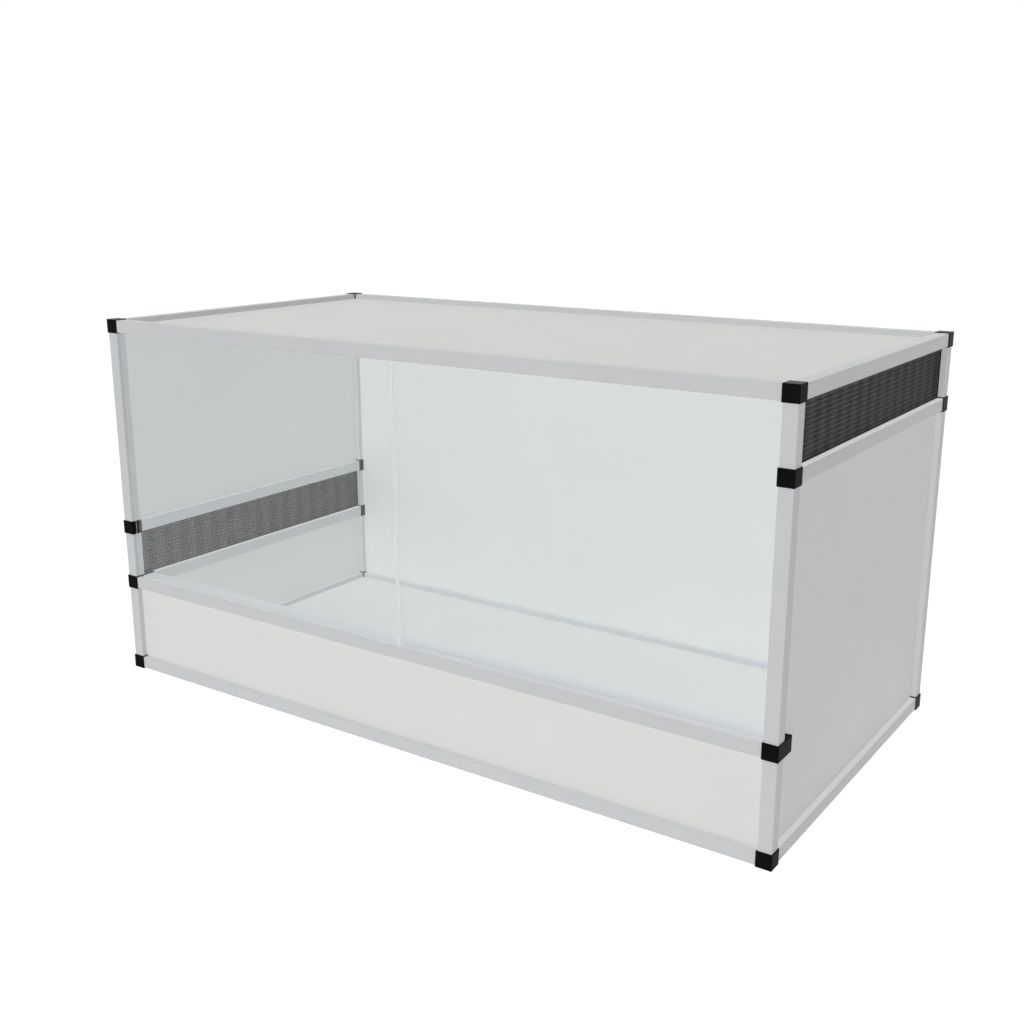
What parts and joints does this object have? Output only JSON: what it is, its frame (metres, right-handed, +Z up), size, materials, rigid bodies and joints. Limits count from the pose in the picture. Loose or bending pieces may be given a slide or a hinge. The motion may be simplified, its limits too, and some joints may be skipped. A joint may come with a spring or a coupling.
{
  "type": "reptile terrarium",
  "caption": "Long reptile terrarium of square aluminium tube and black plug connectors, with light panels, mesh side vents, a raised sill and sliding glass doors.",
  "frame": {"origin": "on the ground, in the middle of the footprint, below the bottom faces of the corner cubes", "axes": "+X to the right along the length, +Y to the back, +Z up; the doors face -Y"},
  "size_m": [1.223, 0.623, 0.623],
  "materials": {
    "tube_aluminium": "satin anodised",
    "black_plastic": "matt, moulded",
    "light_panel": "smooth, off-white",
    "black_mesh": "matt black coating",
    "track_aluminium": "satin anodised",
    "clear_glass": "clear float glass"
  },
  "bodies": {
    "cabinet": {"front_bottom_rail": "tube_aluminium", "front_sill_rail": "tube_aluminium", "front_top_rail": "tube_aluminium", "back_bottom_rail": "tube_aluminium", "back_top_rail": "tube_aluminium", "left_bottom_rail": "tube_aluminium", "left_sill_rail": "tube_aluminium", "left_vent_rail": "tube_aluminium", "left_top_rail": "tube_aluminium", "right_bottom_rail": "tube_aluminium", "right_vent_rail": "tube_aluminium", "right_top_rail": "tube_aluminium", "left_front_post_lower": "tube_aluminium", "left_front_post_middle": "tube_aluminium", "left_front_post_upper": "tube_aluminium", "left_back_post_lower": "tube_aluminium", "left_back_post_middle": "tube_aluminium", "left_back_post_upper": "tube_aluminium", "right_front_post_lower": "tube_aluminium", "right_front_post_middle": "tube_aluminium", "right_front_post_upper": "tube_aluminium", "right_back_post_lower": "tube_aluminium", "right_back_post_upper": "tube_aluminium", "corner_left_front_bottom": "black_plastic", "corner_right_front_bottom": "black_plastic", "corner_left_back_bottom": "black_plastic", "corner_right_back_bottom": "black_plastic", "corner_left_front_top": "black_plastic", "corner_right_front_top": "black_plastic", "corner_left_back_top": "black_plastic", "corner_right_back_top": "black_plastic", "sill_joint_left_front": "black_plastic", "sill_joint_right_front": "black_plastic", "sill_joint_left_back": "black_plastic", "vent_joint_left_front": "black_plastic", "vent_joint_left_back": "black_plastic", "vent_joint_right_front": "black_plastic", "vent_joint_right_back": "black_plastic", "floor_panel": "light_panel", "roof_panel": "light_panel", "back_panel": "light_panel", "front_lower_panel": "light_panel", "left_lower_panel": "light_panel", "left_upper_panel": "light_panel", "right_panel": "light_panel", "left_vent": "black_mesh", "right_vent": "black_mesh", "lower_track": "track_aluminium", "upper_track": "track_aluminium"},
    "left_door": {"left_door": "clear_glass"},
    "right_door": {"right_door": "clear_glass"}
  },
  "joints": [
    {"name": "left_door_slide", "type": "slide", "parent": "cabinet", "child": "left_door", "axis": [1, 0, 0], "range_m": [0, 0.587]},
    {"name": "right_door_slide", "type": "slide", "parent": "cabinet", "child": "right_door", "axis": [-1, 0, 0], "range_m": [0, 0.587]}
  ]
}
